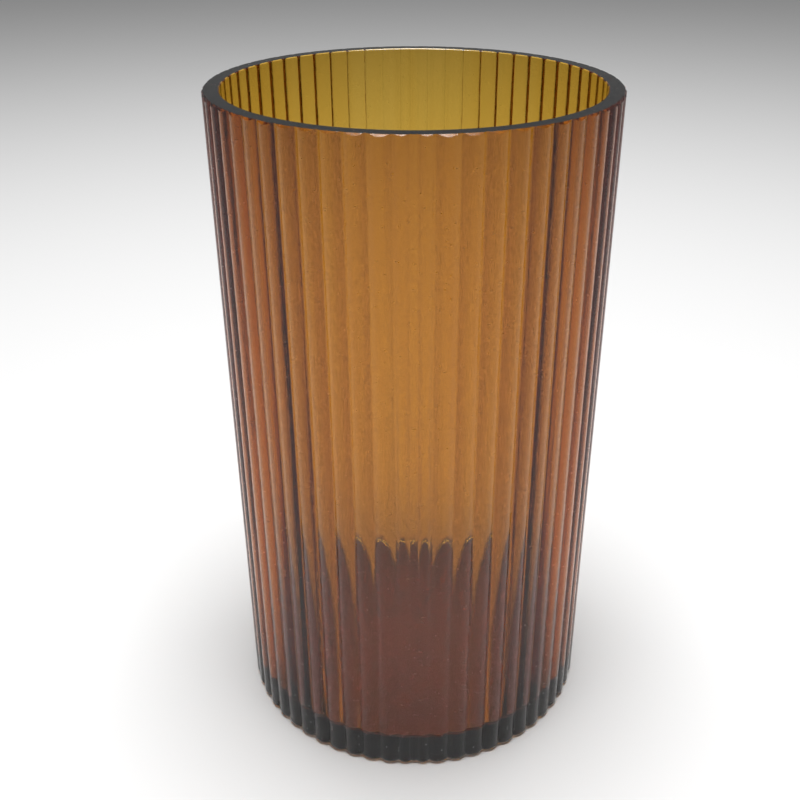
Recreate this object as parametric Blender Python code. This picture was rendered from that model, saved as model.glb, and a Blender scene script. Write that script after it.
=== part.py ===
"""Ribbed amber glass cylinder vase.

The vase is cased glass in two layers. The casing is thick, clear smoke-grey glass, blown into a
two-part ribbed mould: it holds the fluted outside, the solid base and the ground rim. The lining
is the thin amber layer that the casing was gathered over: it is the cup that holds the water.

Metres, +Z up. The origin is the centre of the underside. The mould's two parting lines are at
-Y and +Y. Run it with: blender --background --python part.py
"""

import math

import bmesh
import bpy

# Overall size
HEIGHT = 0.250
CREST_RADIUS = 0.0716  # axis to the crest of a rib

# Ribs: the valleys' depth below the crests, and how the mould's two halves divide the circle
RIB_DEPTH = 0.0012
RIBS_PER_HALF = 30
SEAM_RIB_WIDTH = math.radians(4.1)  # the narrower rib on each side of a parting line
SEAM_RIB_DROP = 0.0003  # how much lower that rib's crest is
SEAM_LAND_WIDTH = math.radians(1.7)  # the flat strip along a parting line
SEAM_LAND_RISE = 0.00025  # how far the strip stands above the valleys

# Wall and base of the casing
CASING_WALL = 0.0034  # at the valleys, where it is thinnest
BASE_THICKNESS = 0.0082
HEEL_RADIUS = 0.0025  # rounding between the side and the underside
RIM_BEVEL = 0.0008  # conical cut across the crests at the rim

# Amber lining
LINING_WALL = 0.0010
LINING_FLOOR = 0.0020
LINING_CORNER = 0.0030  # inside radius where the wall meets the floor
INNER_ARRIS = 0.0003  # small bevel at the mouth
GLASS_GAP = 0.0003  # clearance between the two layers

# Fineness of the curves
RIB_SEGMENTS = 6
LAND_SEGMENTS = 2
CORNER_SEGMENTS = 4
LINING_SEGMENTS = 120
SHARP_ANGLE = math.radians(30)

VALLEY_RADIUS = CREST_RADIUS - RIB_DEPTH
CASING_BORE = VALLEY_RADIUS - CASING_WALL
LINING_RADIUS = CASING_BORE - GLASS_GAP
BORE_RADIUS = LINING_RADIUS - LINING_WALL
LINING_UNDERSIDE = BASE_THICKNESS + GLASS_GAP
FLOOR_HEIGHT = LINING_UNDERSIDE + LINING_FLOOR


def bulge(start, width, crest, segments):
    """Azimuths and radii along one rib: an arc from valley to valley over the given crest."""
    half = width / 2
    rise = crest - VALLEY_RADIUS * math.cos(half)
    reach = VALLEY_RADIUS * math.sin(half)
    arc_radius = (rise**2 + reach**2) / (2 * rise)
    sweep = math.atan2(reach, arc_radius - rise)
    points = []
    for step in range(segments):
        turn = sweep * (2 * step / segments - 1)
        across = arc_radius * math.sin(turn)
        outward = crest - arc_radius + arc_radius * math.cos(turn)
        points.append((start + half + math.atan2(across, outward), math.hypot(across, outward)))
    return points


def ribbed_outline():
    """Azimuths and radii all round the vase, starting at the parting line on -Y."""
    plain_ribs = RIBS_PER_HALF - 2
    plain_width = (math.pi - SEAM_LAND_WIDTH - 2 * SEAM_RIB_WIDTH) / plain_ribs
    seam_rib = (SEAM_RIB_WIDTH, CREST_RADIUS - SEAM_RIB_DROP)
    ribs = [seam_rib] + [(plain_width, CREST_RADIUS)] * plain_ribs + [seam_rib]
    outline = []
    azimuth = -math.pi / 2 - SEAM_LAND_WIDTH / 2
    for _half in range(2):
        land_crest = VALLEY_RADIUS + SEAM_LAND_RISE
        outline += bulge(azimuth, SEAM_LAND_WIDTH, land_crest, LAND_SEGMENTS)
        azimuth += SEAM_LAND_WIDTH
        for width, crest in ribs:
            outline += bulge(azimuth, width, crest, RIB_SEGMENTS)
            azimuth += width
    return outline


def circle_outline(radius, segments):
    return [(2 * math.pi * step / segments, radius) for step in range(segments)]


def inner_corner(radius, floor, corner):
    """Radii and heights down a wall, round the corner at its foot and onto the floor."""
    turns = [math.pi / 2 * step / CORNER_SEGMENTS for step in range(CORNER_SEGMENTS + 1)]
    return [
        (radius - corner * (1 - math.cos(turn)), floor + corner * (1 - math.sin(turn)))
        for turn in turns
    ]


def closed_body(name, azimuths, rows, first_height, last_height):
    """One solid from rows of (radius, height) pairs, with a fan to the axis at each end."""
    body = bmesh.new()
    rings = []
    for row in rows:
        ring = [
            body.verts.new((radius * math.cos(azimuth), radius * math.sin(azimuth), height))
            for azimuth, (radius, height) in zip(azimuths, row)
        ]
        rings.append(ring)
    around = range(len(azimuths))
    for lower, upper in zip(rings, rings[1:]):
        for i in around:
            body.faces.new((lower[i - 1], lower[i], upper[i], upper[i - 1]))
    for ring, height in ((rings[0], first_height), (rings[-1], last_height)):
        centre = body.verts.new((0, 0, height))
        for i in around:
            body.faces.new((ring[i - 1], ring[i], centre))
    # Where the bevel runs out at a valley, its two edges meet in one.
    bmesh.ops.remove_doubles(body, verts=body.verts, dist=0.00001)
    bmesh.ops.recalc_face_normals(body, faces=body.faces)
    mesh = bpy.data.meshes.new(name)
    body.to_mesh(mesh)
    body.free()
    mesh.shade_smooth()
    mesh.set_sharp_from_angle(angle=SHARP_ANGLE)
    made = bpy.data.objects.new(name, mesh)
    bpy.context.scene.collection.objects.link(made)
    return made


def ribbed_casing():
    """Ribbed outside, round heel, flat underside, ground rim, and the bore for the lining."""
    outline = ribbed_outline()
    azimuths = [azimuth for azimuth, _ in outline]
    rows = []
    for step in range(CORNER_SEGMENTS + 1):
        turn = math.pi / 2 * step / CORNER_SEGMENTS
        inset = HEEL_RADIUS * (1 - math.sin(turn))
        height = HEEL_RADIUS * (1 - math.cos(turn))
        rows.append([(radius - inset, height) for _, radius in outline])
    rim_radii = [min(radius, CREST_RADIUS - RIM_BEVEL) for _, radius in outline]
    rows.append(
        [(radius, HEIGHT - (radius - flat)) for (_, radius), flat in zip(outline, rim_radii)]
    )
    rows.append([(flat, HEIGHT) for flat in rim_radii])
    rows.append([(CASING_BORE, HEIGHT)] * len(outline))
    corner = LINING_CORNER + LINING_WALL + GLASS_GAP
    rows += [[pair] * len(outline) for pair in inner_corner(CASING_BORE, BASE_THICKNESS, corner)]
    return closed_body("ribbed_casing", azimuths, rows, 0.0, BASE_THICKNESS)


def amber_lining():
    """Thin round cup inside the casing, flush with it at the rim."""
    azimuths = [azimuth for azimuth, _ in circle_outline(BORE_RADIUS, LINING_SEGMENTS)]
    outside = inner_corner(LINING_RADIUS, LINING_UNDERSIDE, LINING_CORNER + LINING_WALL)
    mouth = [
        (LINING_RADIUS, HEIGHT),
        (BORE_RADIUS + INNER_ARRIS, HEIGHT),
        (BORE_RADIUS, HEIGHT - INNER_ARRIS),
    ]
    inside = inner_corner(BORE_RADIUS, FLOOR_HEIGHT, LINING_CORNER)
    rows = [[pair] * LINING_SEGMENTS for pair in outside[::-1] + mouth + inside]
    return closed_body("amber_lining", azimuths, rows, LINING_UNDERSIDE, FLOOR_HEIGHT)


def glass(name, colour, roughness):
    """Clear coloured glass."""
    material = bpy.data.materials.new(name)
    material.use_nodes = True
    shader = material.node_tree.nodes["Principled BSDF"]
    shader.inputs["Base Color"].default_value = (*colour, 1.0)
    shader.inputs["Metallic"].default_value = 0.0
    shader.inputs["Roughness"].default_value = roughness
    shader.inputs["IOR"].default_value = 1.5
    shader.inputs["Transmission Weight"].default_value = 1.0
    return material


for leftover in list(bpy.data.objects):
    bpy.data.objects.remove(leftover, do_unlink=True)

ribbed_casing().data.materials.append(glass("smoke_glass", (0.62, 0.63, 0.64), 0.05))
amber_lining().data.materials.append(glass("amber_glass", (0.62, 0.33, 0.06), 0.03))
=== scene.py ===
"""Looks for the ribbed amber glass vase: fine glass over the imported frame, a camera and a studio.

The sections follow the vase as it is put together: the ribbed casing, the amber lining inside
it, the table it stands on, and the light round it.
"""

import math
import random

import bmesh
import bpy
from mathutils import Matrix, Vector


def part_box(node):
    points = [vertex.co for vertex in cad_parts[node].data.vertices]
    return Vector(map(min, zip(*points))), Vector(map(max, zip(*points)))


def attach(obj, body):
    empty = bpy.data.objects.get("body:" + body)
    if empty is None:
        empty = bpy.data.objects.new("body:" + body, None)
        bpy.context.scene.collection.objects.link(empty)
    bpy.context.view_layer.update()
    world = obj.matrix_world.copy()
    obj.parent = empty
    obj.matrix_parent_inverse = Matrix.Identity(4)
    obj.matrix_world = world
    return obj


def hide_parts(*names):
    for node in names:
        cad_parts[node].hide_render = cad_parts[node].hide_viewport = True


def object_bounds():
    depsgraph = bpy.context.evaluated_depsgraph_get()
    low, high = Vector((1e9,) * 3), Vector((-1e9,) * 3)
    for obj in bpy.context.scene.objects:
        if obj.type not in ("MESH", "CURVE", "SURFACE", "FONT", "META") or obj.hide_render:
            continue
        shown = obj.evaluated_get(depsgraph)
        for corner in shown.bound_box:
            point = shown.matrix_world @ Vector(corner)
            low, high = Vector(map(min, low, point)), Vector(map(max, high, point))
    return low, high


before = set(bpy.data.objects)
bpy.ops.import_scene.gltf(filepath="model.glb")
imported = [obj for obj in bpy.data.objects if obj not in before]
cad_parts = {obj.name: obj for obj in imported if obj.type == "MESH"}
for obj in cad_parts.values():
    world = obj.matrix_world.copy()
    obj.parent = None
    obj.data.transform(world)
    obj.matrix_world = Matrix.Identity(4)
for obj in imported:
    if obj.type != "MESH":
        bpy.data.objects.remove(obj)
cad_low, cad_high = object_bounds()


# ---------------------------------------------------------------------------------------------
# Camera. It stands a little above the rim and looks down on the vase, near enough for the foot
# to look narrower than the mouth.

tall = cad_high[2] - cad_low[2]
eye = bpy.data.cameras.new("eye")
eye.sensor_width = 36.0
eye.lens = 45.54
eye.shift_x = -0.0175
tripod = bpy.data.objects.new("eye", eye)
bpy.context.scene.collection.objects.link(tripod)
tripod.location = (0.0, -1.418 * tall, 1.284 * tall)
tripod.rotation_euler = (math.radians(61.25), 0.0, 0.0)
bpy.context.scene.camera = tripod


# ---------------------------------------------------------------------------------------------
# Ribbed casing. Thick, faintly smoky clear glass, blown into a two part mould that gives it its
# ribs and its two parting lines. The rim was sawn flat, its crests bevelled and left satin.

rim_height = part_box("ribbed_casing")[1].z
lining_low, lining_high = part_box("amber_lining")
casing_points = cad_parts["ribbed_casing"].data.vertices
crest_radius = max(math.hypot(point.co.x, point.co.y) for point in casing_points) - 0.00002
rib_depth = 0.0012
valley_radius = crest_radius - rib_depth
valley_fillet = 0.0007
ribs_per_half = 30
seam_rib_width = math.radians(4.1)
seam_rib_drop = 0.0003
seam_land_width = math.radians(1.7)
seam_land_rise = 0.00025
mould_wear = 0.00008
heel_radius = 0.0025
rim_bevel = 0.0008
mouth_arris = 0.0003
lining_wall = 0.0010
lining_floor = 0.0020
# The two layers are one glass, so this body reaches in to where the amber meets the air.
bore_radius = lining_high.x - lining_wall
floor_height = lining_low.z + lining_floor
inner_corner = 0.0030
bore_top = rim_height - mouth_arris
bore_foot = floor_height + inner_corner
wall_steps = 14
corner_steps = 8


def round_rib(start, width, crest, steps):
    """Azimuths and radii of one rib: out of a soft valley, over a round crest, into the next."""
    reach = valley_radius * width / 2
    lean = 2 * math.atan2(crest - valley_radius, reach)
    both_radii = reach / math.sin(lean)
    fillet = min(valley_fillet, both_radii / 2)
    crest_arc = both_radii - fillet
    profile = []
    for step in range(steps):
        turn = lean * step / steps
        profile.append((fillet * math.sin(turn), valley_radius + fillet * (1 - math.cos(turn))))
    for step in range(3 * steps + 1):
        turn = lean * (1 - 2 * step / (3 * steps))
        profile.append((reach - crest_arc * math.sin(turn), crest - crest_arc * (1 - math.cos(turn))))
    for step in range(1, steps):
        turn = lean * (1 - step / steps)
        profile.append((2 * reach - fillet * math.sin(turn), valley_radius + fillet * (1 - math.cos(turn))))
    return [(start + across / valley_radius, out) for across, out in profile]


def ribbed_outline(rib_steps, land_steps):
    """All sixty ribs and the two lands, from the parting line at the front."""
    plain_ribs = ribs_per_half - 2
    plain_width = (math.pi - seam_land_width - 2 * seam_rib_width) / plain_ribs
    seam_rib = (seam_rib_width, crest_radius - seam_rib_drop)
    ribs = [seam_rib] + [(plain_width, crest_radius)] * plain_ribs + [seam_rib]
    mould = random.Random(60)
    points = []
    azimuth = -math.pi / 2 - seam_land_width / 2
    for _half in range(2):
        points += round_rib(azimuth, seam_land_width, valley_radius + seam_land_rise, land_steps)
        azimuth += seam_land_width
        for width, crest in ribs:
            points += round_rib(azimuth, width, crest - mould.uniform(0, mould_wear), rib_steps)
            azimuth += width
    return points


def bore_wave(azimuth, height):
    """How far the blown inside wanders off a true cylinder."""
    up = height / rim_height
    return 0.00001 * (
        2.6 * math.sin(5 * azimuth + 6 * up)
        + 1.8 * math.sin(13 * azimuth - 5 * up + 1.0)
        + 1.2 * math.sin(29 * azimuth + 7 * up + 2.2)
        + 0.7 * math.sin(61 * azimuth - 4 * up + 0.4)
    )


def inside_rows(azimuths, mouth_height, offset):
    """Rows down the bore, round the corner at its foot and onto the floor, offset into the glass."""
    rows = []
    for step in range(wall_steps):
        height = mouth_height + (bore_foot - mouth_height) * step / wall_steps
        rows.append([(bore_radius + offset + bore_wave(a, height), height) for a in azimuths])
    for step in range(corner_steps + 1):
        turn = math.pi / 2 * step / corner_steps
        radius = bore_radius + offset - inner_corner * (1 - math.cos(turn))
        height = bore_foot - offset - inner_corner * math.sin(turn)
        rows.append([(radius + bore_wave(a, bore_foot) * math.cos(turn), height) for a in azimuths])
    return rows


def blown_body(name, azimuths, rows, first_height, last_height):
    """A closed, smooth glass body from rows of (radius, height), with a fan at each end."""
    body = bmesh.new()
    rings = []
    for row in rows:
        ring = [
            body.verts.new((radius * math.cos(a), radius * math.sin(a), height))
            for a, (radius, height) in zip(azimuths, row)
        ]
        rings.append(ring)
    for lower, upper in zip(rings, rings[1:]):
        for i in range(len(azimuths)):
            body.faces.new((lower[i - 1], lower[i], upper[i], upper[i - 1]))
    for ring, height in ((rings[0], first_height), (rings[-1], last_height)):
        centre = body.verts.new((0, 0, height))
        for i in range(len(azimuths)):
            body.faces.new((ring[i - 1], ring[i], centre))
    # At the bottom of a valley the bevel has run out, and its two edges meet in one.
    bmesh.ops.remove_doubles(body, verts=body.verts, dist=0.000002)
    bmesh.ops.recalc_face_normals(body, faces=body.faces)
    mesh = bpy.data.meshes.new(name)
    body.to_mesh(mesh)
    body.free()
    mesh.shade_smooth()
    mesh.set_sharp_from_angle(angle=math.radians(28))
    made = bpy.data.objects.new(name, mesh)
    bpy.context.scene.collection.objects.link(made)
    return made


outline = ribbed_outline(4, 2)
around = [azimuth for azimuth, _ in outline]
rim_line = [min(radius, crest_radius - rim_bevel) for _, radius in outline]
rows = []
for step in range(7):
    turn = math.pi / 2 * step / 6
    inset = heel_radius * (1 - math.sin(turn))
    height = heel_radius * (1 - math.cos(turn))
    rows.append([(radius - inset, height) for _, radius in outline])
for step in range(1, wall_steps + 1):
    share = step / wall_steps
    rows.append([
        (radius, heel_radius + (rim_height - (radius - flat) - heel_radius) * share)
        for (_, radius), flat in zip(outline, rim_line)
    ])
rows.append([(flat, rim_height) for flat in rim_line])
rows.append([(bore_radius + mouth_arris + bore_wave(a, rim_height), rim_height) for a in around])
rows += inside_rows(around, bore_top, 0.0)
casing = blown_body("casing_glass", around, rows, 0.0, floor_height)


def new_node(tree, kind, links=(), **values):
    """One shader node: links are (its input, a socket or a value), and its settings go by name."""
    made = tree.nodes.new(kind)
    for name, value in values.items():
        setattr(made, name, value)
    for socket, source in links:
        if isinstance(source, (int, float, tuple)):
            made.inputs[socket].default_value = source
        else:
            tree.links.new(source, made.inputs[socket])
    return made


def draw_lines_group():
    """Fine upright lines that the blowing leaves in the glass, from low to high."""
    group = bpy.data.node_groups.new("draw_lines", "ShaderNodeTree")
    group.interface.new_socket("Fineness", in_out="INPUT", socket_type="NodeSocketFloat")
    group.interface.new_socket("Height", in_out="OUTPUT", socket_type="NodeSocketFloat")
    asked = new_node(group, "NodeGroupInput")
    spot = new_node(group, "ShaderNodeNewGeometry")
    drawn = new_node(group, "ShaderNodeVectorMath", [
        (0, spot.outputs["Position"]), (1, (1.0, 1.0, 0.02)),
    ], operation="MULTIPLY")
    lines = new_node(group, "ShaderNodeTexNoise", [
        ("Vector", drawn.outputs["Vector"]), ("Scale", asked.outputs["Fineness"]),
        ("Detail", 4.0), ("Roughness", 0.6),
    ])
    new_node(group, "NodeGroupOutput", [("Height", lines.outputs["Fac"])])
    return group


def specks_group():
    """Dust and seeds: small round spots, thinned out at random."""
    group = bpy.data.node_groups.new("specks", "ShaderNodeTree")
    for name in ("Crowding", "Size", "Share"):
        group.interface.new_socket(name, in_out="INPUT", socket_type="NodeSocketFloat")
    group.interface.new_socket("Mask", in_out="OUTPUT", socket_type="NodeSocketFloat")
    asked = new_node(group, "NodeGroupInput")
    spot = new_node(group, "ShaderNodeNewGeometry")
    cells = new_node(group, "ShaderNodeTexVoronoi", [
        ("Vector", spot.outputs["Position"]), ("Scale", asked.outputs["Crowding"]),
    ])
    inside = new_node(group, "ShaderNodeMath", [
        (0, cells.outputs["Distance"]), (1, asked.outputs["Size"]),
    ], operation="LESS_THAN")
    chance = new_node(group, "ShaderNodeSeparateColor", [("Color", cells.outputs["Color"])])
    chosen = new_node(group, "ShaderNodeMath", [
        (0, chance.outputs["Red"]), (1, asked.outputs["Share"]),
    ], operation="LESS_THAN")
    both = new_node(group, "ShaderNodeMath", [
        (0, inside.outputs["Value"]), (1, chosen.outputs["Value"]),
    ], operation="MULTIPLY")
    new_node(group, "NodeGroupOutput", [("Mask", both.outputs["Value"])])
    return group


draw_lines = draw_lines_group()
specks = specks_group()


def clear_glass(name, refraction, absorption_colour, absorption_density):
    """Clear glass that takes its colour from its thickness."""
    material = bpy.data.materials.new(name)
    material.use_nodes = True
    tree = material.node_tree
    shader = tree.nodes["Principled BSDF"]
    shader.inputs["Base Color"].default_value = (1.0, 1.0, 1.0, 1.0)
    shader.inputs["Roughness"].default_value = 0.0
    shader.inputs["IOR"].default_value = refraction
    shader.inputs["Transmission Weight"].default_value = 1.0
    absorb = new_node(tree, "ShaderNodeVolumeAbsorption", [
        ("Color", (*absorption_colour, 1.0)), ("Density", absorption_density),
    ])
    tree.links.new(absorb.outputs["Volume"], tree.nodes["Material Output"].inputs["Volume"])
    return material, tree, shader


smoke, tree, shader = clear_glass("smoke_casing", 1.5, (0.50, 0.54, 0.56), 4.0)
spot = new_node(tree, "ShaderNodeNewGeometry")
place = new_node(tree, "ShaderNodeSeparateXYZ", [("Vector", spot.outputs["Position"])])
facing = new_node(tree, "ShaderNodeSeparateXYZ", [("Vector", spot.outputs["Normal"])])
near_rim = new_node(tree, "ShaderNodeMath", [
    (0, place.outputs["Z"]), (1, rim_height - rim_bevel - 0.00005),
], operation="GREATER_THAN")
bevelled = new_node(tree, "ShaderNodeMath", [
    (0, facing.outputs["Z"]), (1, 0.7), (2, 0.2),
], operation="COMPARE")
satin = new_node(tree, "ShaderNodeMath", [
    (0, near_rim.outputs["Value"]), (1, bevelled.outputs["Value"]),
], operation="MULTIPLY")
lines = new_node(tree, "ShaderNodeGroup", node_tree=draw_lines)
lines.inputs["Fineness"].default_value = 900.0
dust = new_node(tree, "ShaderNodeGroup", node_tree=specks)
dust.inputs["Crowding"].default_value = 640.0
dust.inputs["Size"].default_value = 0.13
dust.inputs["Share"].default_value = 0.22
ground = new_node(tree, "ShaderNodeMath", [
    (0, satin.outputs["Value"]), (1, 0.22),
], operation="MULTIPLY")
dusty = new_node(tree, "ShaderNodeMath", [
    (0, dust.outputs["Mask"]), (1, 0.6),
], operation="MULTIPLY")
rough = new_node(tree, "ShaderNodeMath", [
    (0, ground.outputs["Value"]), (1, dusty.outputs["Value"]),
], operation="MAXIMUM")
tree.links.new(rough.outputs["Value"], shader.inputs["Roughness"])
relief = new_node(tree, "ShaderNodeBump", [
    ("Strength", 1.0), ("Distance", 0.00007), ("Height", lines.outputs["Height"]),
])
tree.links.new(relief.outputs["Normal"], shader.inputs["Normal"])
casing.data.materials.append(smoke)

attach(casing, "root")
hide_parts("ribbed_casing")


# ---------------------------------------------------------------------------------------------
# Amber lining. The thin amber cup that the casing was gathered over, a little thicker in its
# floor. It lies in the casing's glass, a hair inside its surface, and bends no light itself.

skin = 0.00002
lining_points = 480
around = [2 * math.pi * step / lining_points for step in range(lining_points)]
outer_corner = inner_corner + lining_wall
rows = []
for step in range(corner_steps + 1):
    turn = math.pi / 2 * (1 - step / corner_steps)
    radius = lining_high.x - outer_corner * (1 - math.cos(turn))
    rows.append([(radius, lining_low.z + outer_corner * (1 - math.sin(turn)))] * lining_points)
rows.append([(lining_high.x, rim_height - skin)] * lining_points)
lip = bore_radius + mouth_arris + skin
rows.append([(lip + bore_wave(a, rim_height), rim_height - skin) for a in around])
rows += inside_rows(around, bore_top - skin, skin)
lining = blown_body("lining_glass", around, rows, lining_low.z, floor_height - skin)

amber, tree, shader = clear_glass("amber_layer", 1.0, (0.87, 0.695, 0.0), 2650.0)
lines = new_node(tree, "ShaderNodeGroup", node_tree=draw_lines)
lines.inputs["Fineness"].default_value = 420.0
streaks = new_node(tree, "ShaderNodeMixRGB", [
    ("Fac", lines.outputs["Height"]), ("Color1", (1.0, 1.0, 1.0, 1.0)), ("Color2", (0.90, 0.86, 0.78, 1.0)),
])
tree.links.new(streaks.outputs["Color"], shader.inputs["Base Color"])
lining.data.materials.append(amber)

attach(lining, "root")
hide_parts("amber_lining")


# ---------------------------------------------------------------------------------------------
# Table. A plain pale matt top, the same to the eye as through the glass. It lies a hair below
# the foot, so that the two faces don't touch.

bpy.ops.mesh.primitive_plane_add(size=12.0, location=(0, 0, -0.0002))
table = bpy.context.object
table.name = "table"

pale = bpy.data.materials.new("pale_table")
pale.use_nodes = True
shader = pale.node_tree.nodes["Principled BSDF"]
shader.inputs["Base Color"].default_value = (0.80, 0.80, 0.80, 1.0)
shader.inputs["Roughness"].default_value = 0.7
table.data.materials.append(pale)


# ---------------------------------------------------------------------------------------------
# Light. One broad soft lamp straight overhead in an evenly dim room, so that the table is
# brightest round the vase. Light may cross the glass many times before it is spent.

room = bpy.data.worlds.new("room")
bpy.context.scene.world = room
room.use_nodes = True
room.node_tree.nodes["Background"].inputs["Color"].default_value = (0.19, 0.19, 0.19, 1.0)

lamp = bpy.data.lights.new("overhead", "AREA")
lamp.shape = "SQUARE"
lamp.size = 0.8
lamp.energy = 33.0
lamp_object = bpy.data.objects.new("overhead", lamp)
lamp_object.location = (0.0, 0.0, 6.4 * tall)
bpy.context.scene.collection.objects.link(lamp_object)

bpy.context.scene.cycles.max_bounces = 32
bpy.context.scene.cycles.transmission_bounces = 32
bpy.context.scene.view_settings.view_transform = "Standard"
